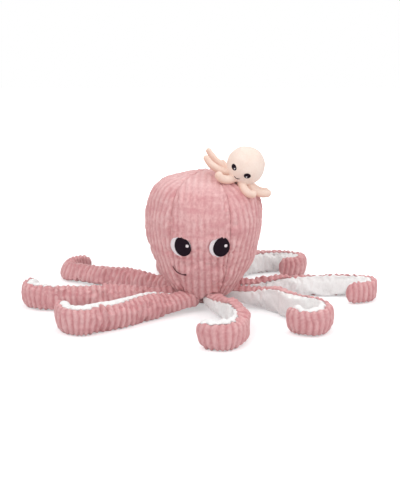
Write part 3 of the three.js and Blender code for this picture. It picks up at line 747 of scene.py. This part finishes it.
def route_at(name, distance):
    """Place and heading at a distance along a tentacle's middle line, as seen from above."""
    root_turn, heading, length_share, _, bends, _, _ = TENTACLES[name]
    length = length_share * TENTACLE_LENGTH
    place = polar(ROOT_CIRCLE, root_turn, 0)
    heading = math.radians(heading)
    left = distance
    for share, bend in zip(BEND_SHARES.get(name, USUAL_SHARES), bends):
        run = share * length
        step = min(left, run)
        half = math.radians(bend) * step / run / 2
        chord = step if half == 0 else step * math.sin(half) / half
        place = place + chord * np.array([math.cos(heading + half), math.sin(heading + half), 0])
        heading += 2 * half
        left = max(left - step, 0)
    return place, heading


def swell(root, body, tip, share):
    rise, fall = smooth(share / SWELL_SHARE), smooth((share - SWELL_SHARE) / (1 - SWELL_SHARE))
    return (root + (body - root) * rise) * (1 - fall) + tip * fall


class Limb:
    """Frames along one tentacle, close enough together to carry its ribs."""

    def __init__(self, name):
        _, _, length_share, girth, _, roll, seams = TENTACLES[name]
        length = length_share * TENTACLE_LENGTH
        body = length - TIP_ROUNDING
        start = -ROOT_RADIUS * math.cos(math.radians(ROOT_CAP))
        root = np.linspace(start, 0, LIMB_ROOT_ROWS, endpoint=False)
        straight = np.linspace(0, body, int(body / LIMB_STEP), endpoint=False)
        tip = body + TIP_ROUNDING * np.sin(np.radians(np.linspace(0, TIP_CAP, LIMB_TIP_ROWS)))
        self.distance = np.concatenate([root, straight, tip])
        cap = np.minimum(self.distance / ROOT_RADIUS, 0)
        cap += np.maximum((self.distance - body) / TIP_ROUNDING, 0)
        self.factor = np.sqrt(1 - cap**2)
        share = np.maximum(self.distance, 0) / length
        places, headings = zip(*(route_at(name, d) for d in self.distance))
        self.centre, heading = np.array(places), np.array(headings)
        up = np.array([0, 0, 1])
        side = np.cross(np.stack([np.cos(heading), np.sin(heading), 0 * heading], -1), up)
        tilt = np.radians(np.interp(share, [0, 0.5, 1], roll))[:, None]
        self.face = side * np.cos(tilt) + up * np.sin(tilt)
        self.ridge = up * np.cos(tilt) - side * np.sin(tilt)
        # Half of the height and of the thickness
        self.high, self.thick = (
            swell(first, middle * girth[0], last * girth[1], share)
            for first, middle, last in ((ROOT_RADIUS, BODY_HEIGHT, TIP_HEIGHT),
                                        (ROOT_THICKNESS, BODY_THICKNESS, TIP_THICKNESS)))
        angle = np.linspace(0, 360, 73)
        x, y = section(angle, self.high[:, None], self.thick[:, None])
        low = (self.face[:, 2:] * x + self.ridge[:, 2:] * y).min(1)
        self.centre[:, 2] = FLOOR_GAP - low + ROOT_LIFT * (1 - smooth(self.distance / LIFT_RUN))
        self.curve = np.abs(np.gradient(heading, self.distance))
        # The ribs keep their pitch along the outside of a curl
        stretch = 1 + self.curve * self.thick * (self.distance > 0)
        self.back_run = run_along(stretch[1:] * np.diff(self.distance)) + start
        wander = layered(self.distance[:, None], SEAM_WANDER, 2 * list(TENTACLES).index(name))
        seam = np.interp(share, [0, 0.5, 1], seams) + wander * smooth(share * SEAM_STEADY)
        self.seam = seam[:, None]

    def under(self, least):
        """Lowest height of the cloth: it lies on the floor and rises to the head at the root."""
        return least + UNDER_LIFT * (1 - smooth(self.distance / UNDER_RUN))[:, None]

    def picked(self):
        """The rows that the coarse skin takes from this limb."""
        last = len(self.distance) - 1
        return np.unique(np.r_[0:last - 2:LIMB_ROWS, last])

    def puff(self, coarse, spread):
        """The skin's moves at this limb's rows, none at the root."""
        picked = self.picked()
        places = np.interp(np.arange(len(self.distance)), picked, np.arange(len(picked)))
        fine = finer(coarse, places, spread * (coarse.shape[1] - 1))
        return fine * smooth((self.distance - ROOT_FREE) / FREE_RUN)[:, None, None]

    def rows(self, angle, offset):
        """Cloth points at the given angles round the section, offset outwards by millimetres."""
        high, thick = (self.factor * (self.high, self.thick))[..., None]
        (x, y), (x1, y1), (x2, y2) = (section(angle + step, high, thick) for step in (0, -0.5, 0.5))
        nx, ny = y2 - y1, x1 - x2
        out = offset * np.sign(nx * x + ny * y) / np.maximum(np.hypot(nx, ny), 1e-6)
        x, y = x + out * nx, y + out * ny
        return (self.centre[:, None] + self.face[:, None] * x[..., None]
                + self.ridge[:, None] * y[..., None])

    def layers(self, angle, height, puff, deep, wall):
        """Outer cloth with its relief and puff, and the plain inner cloth a wall behind it."""
        outer = self.rows(angle, height * smooth(self.factor[:, None] / TIP_RUN)) + puff
        back = np.linspace(angle[:, 0], angle[:, -1], deep, axis=1)
        thin = np.minimum(wall[0], wall[1] * self.factor * self.thick)[:, None]
        inner = self.rows(back, -thin + 0 * back)
        return lowered((outer, inner), [self.under(low) for low in LIMB_LOWS])


def limb_skin(name, limb):
    """One tentacle's cloth as a coarse skin, held at its root and along its two seams."""
    picked = limb.picked()
    upper = limb.seam
    cover = upper + (360 - LOWER_SEAM - upper) * np.arange(COVER_CELLS) / COVER_CELLS
    strip = -LOWER_SEAM + (LOWER_SEAM + upper) * np.arange(LINING_CELLS) / LINING_CELLS
    angle = np.concatenate([cover, strip], 1)
    start, full = (limb.rows(angle, lift * limb.factor[:, None] + 0 * angle)[picked]
                   for lift in (PUFF_START, 0))
    pins = np.zeros(angle.shape)[picked]
    pins[:, [0, COVER_CELLS]] = SEAM_PIN
    pins = np.where(limb.distance[picked][:, None] < ROOT_HELD, 1, pins)
    return skin(f"{name}_skin", start, pins), start, full


def strip_grid(limb, first, last, columns, around):
    """A strip's spread from seam to seam, its angles, the way to its edge and along the tentacle."""
    spread = np.linspace(0, 1, columns)
    angle = first + SEAM_TRIM + (last - first - 2 * SEAM_TRIM) * spread
    edge = np.minimum(spread, 1 - spread) * around
    return spread, angle, edge, limb.distance[:, None] + 0 * angle


def limb_cover(name, limb, moves, seed):
    around = limb.high.max() * np.radians(360 - 2 * LOWER_SEAM)
    spread, angle, edge, distance = strip_grid(
        limb, limb.seam, 360 - LOWER_SEAM, COVER_COLUMNS, around)
    flat = limb.rows(angle, 0)
    place = limb.back_run[:, None] + layered(flat, COVER_WOBBLE, seed)
    if name == "front_left":
        place += (spread - 0.5) * ROOT_SLANT * (1 - smooth(distance / SLANT_RUN))
    rib = rib_wave(place / RIB_PITCH)
    fade = smooth((limb.factor[:, None] - FADE_FROM) / FADE_RUN)
    height = relief(rib, LIMB_RIBS, flat, COVER_RIBS, seed) * fade - FADED_LOW * (1 - fade)
    height += layered(flat, COVER_SWELL, seed)
    height -= COVER_LINE[0] * near(edge, COVER_LINE[1])
    puff = limb.puff(moves[:, :COVER_CELLS + 1], spread)
    outer, inner = limb.layers(angle, height, puff, COVER_DEEP, COVER_WALL)
    cloth = np.stack([distance, spread * around + 0 * distance, 0 * distance + 47 * seed], -1)
    # Less of the ribs' painted valley shade towards the rounded ends; the whole cover also gets
    # painted shade, darker than the head of the same plush
    rib *= LIMB_RIB_SHOWN + (1 - LIMB_RIB_SHOWN) * fade
    return shell(f"tentacle_{name}_ribs", outer, inner, PINK, rib, cloth, LIMB_PAINTED_SHADE)


def limb_lining(name, limb, moves, seed):
    upper = limb.seam
    around = limb.high.max() * np.radians(LOWER_SEAM + upper) * LINING_SHARE
    spread, angle, edge, distance = strip_grid(limb, -LOWER_SEAM, upper, LINING_COLUMNS, around)
    flat = limb.rows(angle, -LINING_INSET)
    cloth = np.stack([spread * around, distance, 0 * distance + 53 * seed], -1)
    curl = np.clip(limb.curve * CURL_SCALE, 0, 1)[:, None]
    along = np.stack([distance, FOLD_SQUEEZE * cloth[..., 0], 0 * distance], -1)
    folds = layered(along, LINING_FOLDS, seed) * smooth(edge / FOLD_EDGE)
    height = folds * (FOLD_LEAST + FOLD_CURL * curl**2) - LINING_INSET
    height += layered(flat, LINING_SWELL, seed)
    height -= LINING_LINE[0] * near(edge, LINING_LINE[1])
    strip = np.r_[COVER_CELLS:COVER_CELLS + LINING_CELLS, 0]
    puff = limb.puff(moves[:, strip], spread)
    outer, inner = limb.layers(angle, height, puff, LINING_DEEP, LINING_WALL)
    return shell(f"tentacle_{name}_strip", outer, inner, WHITE, None, cloth)


limbs = {name: Limb(name) for name in TENTACLES}
skins = {name: limb_skin(name, limb) for name, limb in limbs.items()}
skins["head"] = head_skin()
moves = puffed(skins)

for index, name in enumerate(GORES):
    make_gore(name, FACE_TURN + 2 * index * GORE_HALF, moves)
make_base()

for index, (name, limb) in enumerate(limbs.items()):
    cover = limb_cover(name, limb, moves[name], index)
    strip = limb_lining(name, limb, moves[name], index)
    dress(cover, "pink_ribbed", f"tentacle_{name}_cover", f"tentacle_{name}_filling", fill=0.8)
    dress(strip, "white_lining", f"tentacle_{name}_lining", fill=0.8)
    root, ahead = root_and_ahead(name)
    for piece in (cover, strip):
        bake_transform(piece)


# ---- face
def patch(name, surface, half_width, half_height, lift, thickness, material, sides=64, egg=0,
          lean=0):
    """A raised, round-edged patch that follows a surface, leaned by degrees."""
    cos, sin = circle(sides)
    lean = math.radians(lean)
    rings, flats = [], []
    for share, level in PATCH_RINGS:
        across = cos * half_width * share * (1 - egg * sin)
        along = sin * half_height * share
        across, along = (across * math.cos(lean) - along * math.sin(lean),
                         across * math.sin(lean) + along * math.cos(lean))
        rings.append(surface(across, along, lift + thickness * level))
        flats.append(np.stack([across, along, 0 * across], -1))
    return ring_mesh(name, np.array(rings), material, {"cloth": flats})


def stitch(name, points, count, taper, sides, body, node):
    """A line of thread through points; its taper says the radius at shares of its length."""
    line, _ = spline(points, count)
    radii = np.interp(np.linspace(0, 1, count), *zip(*taper))
    dress(tube(name, line, radii, THREAD, sides), "thread", node, body=body)


def on_head(turn, height):
    def surface(across, along, lift):
        return head_point(turn + np.degrees(across / head_radius(height)), height + along, lift)
    return surface


eye_circle = float(head_radius(EYE_HEIGHT))
for side, turn in EYE_TURNS.items():
    pupil_turn = FACE_TURN + turn + math.degrees(PUPIL_SHIFT / eye_circle)
    glint_turn = pupil_turn + math.degrees(GLINT_ACROSS[side] / eye_circle)
    pupil_height = EYE_HEIGHT + PUPIL_RISE
    white = patch(f"eye_{side}_white", on_head(FACE_TURN + turn, EYE_HEIGHT), EYE_WHITES[side],
                  EYE_RADIUS, 0, 0.9, EYE_WHITE)
    pupil = patch(f"eye_{side}_dark", on_head(pupil_turn, pupil_height), PUPIL_WIDTH, PUPIL_HEIGHT,
                  1, 0.7, EYE_BLACK, egg=PUPIL_EGG, lean=PUPIL_LEANS[side])
    glint = patch(f"eye_{side}_light", on_head(glint_turn, pupil_height + GLINT_UP), GLINT_RADIUS,
                  GLINT_RADIUS, 1.8, 0.5, EYE_WHITE, sides=32)
    dress(white, "eye_white", f"eye_{side}_patch", body="octopus_head")
    dress(pupil, "eye_black", f"eye_{side}_pupil", body="octopus_head")
    dress(glint, "eye_white", f"eye_{side}_glint", body="octopus_head")

stitch("mouth_stitch", MOUTH, 60, MOUTH_TAPER, 14, "octopus_head", "mouth_thread")


# ---- baby
seat_normal = head_point(FACE_TURN + SEAT_TURN, SEAT_HEIGHT, 3) - SEAT
seat_normal /= np.linalg.norm(seat_normal)
baby_flat = SURFACE_GAP + 2 * (PATCH_THICKNESS + SEAM_GAP)
baby_place = SEAT + seat_normal * (baby_flat + BABY_FLAT_DEPTH)
baby_turn = np.array(Matrix.Rotation(math.radians(BABY_LEAN_RIGHT), 3, "Y")
                     @ Matrix.Rotation(math.radians(BABY_LEAN_FRONT), 3, "X"))


def to_world(points):
    return points @ baby_turn.T + baby_place


def baby_point(turn, rise, lift):
    radius = BABY_RADIUS + lift
    rise = np.radians(rise)
    return polar(radius * np.cos(rise), turn - 90, radius * np.sin(rise))


def on_baby(turn, rise):
    def surface(across, along, lift):
        return to_world(baby_point(turn + np.degrees(across / BABY_RADIUS),
                                   rise + np.degrees(along / BABY_RADIUS), lift))
    return surface


def above_seat(points, room):
    """Cloth pressed flat where it rests on the big head."""
    low = np.maximum(room - (points - SEAT) @ seat_normal, 0)
    return points + low[..., None] * seat_normal


def off_head(points, room):
    """Cloth kept outside the big head's cloth."""
    points = points.copy()
    for _ in range(3):
        radius = np.hypot(points[..., 0], points[..., 1])
        rise = np.maximum(points[..., 2] - CHEEK_HEIGHT, 0)
        inside = ((radius / (HEAD_WIDTH / 2)) ** CROWN_POWER
                  + (rise / (HEAD_HEIGHT - CHEEK_HEIGHT)) ** CROWN_POWER)
        away = points - [0, 0, CHEEK_HEIGHT]
        size = size_of(away)
        push = np.maximum(room - size * (1 - inside ** (-1 / CROWN_POWER)), 0)
        points += push[..., None] * away / size[..., None]
    return points


def make_baby_head(rows=90, sides=128):
    rise = np.linspace(-89, 89, rows)[:, None]
    turn = np.linspace(0, 360, sides, endpoint=False)
    flat = baby_point(turn, rise, 0)
    aside = np.abs((turn - BABY_SEAM_TURN + 90) % 180 - 90)
    seam = np.radians(aside) * BABY_RADIUS * np.cos(np.radians(rise))
    height = layered(flat, BABY_SWELL)
    height -= BABY_SEAM[0] * near(seam, BABY_SEAM[1]) * smooth((rise - 20) / 25)
    body = above_seat(to_world(baby_point(turn, rise, height)), baby_flat)
    piece = ring_mesh("baby_head_plush", body, CREAM, {"cloth": flat})
    dress(piece, "cream_baby", "baby_head", "baby_filling", body="baby", fill=0.9)


def make_baby_limb(index, root_turn, tip_turn, reach_share, lift, rows=70, sides=40):
    points = []
    for share, height, along in zip(BABY_REACH_SHARES, BABY_HEIGHTS, np.linspace(0, 1, 4)):
        reach = share * (1 + (reach_share - 1) * along) * BABY_REACH
        turn = root_turn + (tip_turn - root_turn) * along
        points.append(polar(reach, turn, height + lift * along))
    middle, length = spline(points, rows)
    tip = BABY_LIMB_TIP * BABY_SLIM_TIPS.get(index, 1)
    radii = round_ends(BABY_LIMB_RADIUS, tip, length, rows) + BABY_PILE
    middle = to_world(middle)
    way = tangents(middle)
    side = np.cross(way, seat_normal)
    side /= size_of(side)[:, None]
    cos, sin = (share[None, :, None] for share in circle(sides))
    out = radii[:, None, None] * (cos * side[:, None] + sin * np.cross(side, way)[:, None])
    middle = middle[:, None]
    swell_share = layered(middle + out, BABY_LIMB_SWELL, index) / BABY_LIMB_RADIUS
    out *= 1 + swell_share[..., None]
    # A warmer tone, more on the undersides that face the head: painted shade with the pink head's
    # reflected light
    warm = LIMB_WARM + UNDER_PAINTED_SHADE * smooth(0.5 - 0.6 * out @ seat_normal / BABY_LIMB_RADIUS)
    marks = {"cloth": middle + out, "warm": warm}
    piece = ring_mesh(f"baby_limb_{index}_plush", off_head(middle + out, 0.9), CREAM, marks)
    dress(piece, "cream_baby", f"baby_limb_{index}", body="baby", fill=0.8)


make_baby_head()
for index, spec in enumerate(BABY_LIMBS, 1):
    make_baby_limb(index, *spec)

for side, turn in BABY_EYE_TURNS.items():
    eye = patch(f"baby_eye_{side}_dark", on_baby(turn, BABY_EYE_RISE), BABY_EYE_WIDTH,
                BABY_EYE_HEIGHT, 0.1, 0.7, EYE_BLACK, sides=40, lean=BABY_EYE_LEANS[side])
    aside, above = BABY_GLINTS[side]
    light = patch(f"baby_eye_{side}_light", on_baby(turn + aside, BABY_EYE_RISE + above), 0.9, 1,
                  0.75, 0.3, EYE_WHITE, sides=20)
    light.parent = eye
    dress(eye, "eye_black", f"baby_eye_{side}", body="baby")

baby_mouth = [to_world(baby_point(t, r, 0.5)) for t, r in zip(BABY_MOUTH_TURNS, BABY_MOUTH_RISES)]
stitch("baby_mouth_stitch", baby_mouth, 40, BABY_MOUTH_TAPER, 10, "baby", "baby_mouth_thread")

for name in ("loop_patch", "hook_patch"):
    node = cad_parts[name]
    node.data.materials.clear()
    node.data.materials.append(TAPE)


# ---- floor, light and camera
def make_floor(half_width=4):
    """A matte white floor; it glows where it is seen itself, less round the toy and its shadow."""
    material = bpy.data.materials.new("floor_white")
    m = Nodes(material)
    m.tree.nodes.clear()
    place = m.add("ShaderNodeTexCoord").outputs["Object"]
    reach = m.add("ShaderNodeVectorMath", {0: place}, operation="LENGTH").outputs["Value"]
    glow = m.math("MULTIPLY", m.seen(), m.remap(reach, 0.32, 0.6, 0.4, 1))
    matte = m.add("ShaderNodeBsdfDiffuse", {"Color": (0.82, 0.82, 0.83, 1)}).outputs[0]
    light = m.add("ShaderNodeEmission", {"Color": (1, 1, 1, 1), "Strength": glow}).outputs[0]
    both = m.add("ShaderNodeAddShader", {0: matte, 1: light}).outputs[0]
    m.add("ShaderNodeOutputMaterial", {"Surface": both})
    mesh = bpy.data.meshes.new("floor")
    corners = [(x * half_width, y * half_width, 0) for x, y in ((-1, -1), (1, -1), (1, 1), (-1, 1))]
    mesh.from_pydata(corners, [], [(0, 1, 2, 3)])
    mesh.materials.append(material)
    in_scene("floor", mesh)


def make_world():
    """White where it is seen itself, softer as a light."""
    scene.world = bpy.data.worlds.new("studio")
    m = Nodes(scene.world)
    m.tree.nodes.clear()
    soft, white = (m.add("ShaderNodeBackground", {"Color": (1, 1, 1, 1), "Strength": s}).outputs[0]
                   for s in (0.55, 1))
    both = m.add("ShaderNodeMixShader", {"Fac": m.seen(), 1: soft, 2: white}).outputs[0]
    m.add("ShaderNodeOutputWorld", {"Surface": both})


def area_light(name, place, target_height, size, power):
    light = bpy.data.lights.new(name, "AREA")
    light.shape, light.size, light.energy = "SQUARE", size, power
    lamp = in_scene(name, light)
    lamp.location = place
    way = Vector((0, 0, target_height)) - Vector(place)
    lamp.rotation_euler = way.to_track_quat("-Z", "Y").to_euler()


make_floor()
make_world()
area_light("key", (-0.9, -1.1, 1.6), 0.08, 1.3, 14)
area_light("fill", (1.3, -0.8, 1.1), 0.08, 1.2, 9.4)
area_light("top", (0.1, 0.5, 1.7), 0.05, 1.4, 7)

lens = bpy.data.cameras.new("camera")
lens.sensor_fit, lens.sensor_height, lens.lens = "VERTICAL", 36, 56.35
camera = in_scene("camera", lens)
camera.location = (-0.006, -1.1276, 0.4104)
camera.rotation_euler = (math.radians(73.8), 0, 0)
scene.camera = camera
scene.view_settings.view_transform = "Standard"
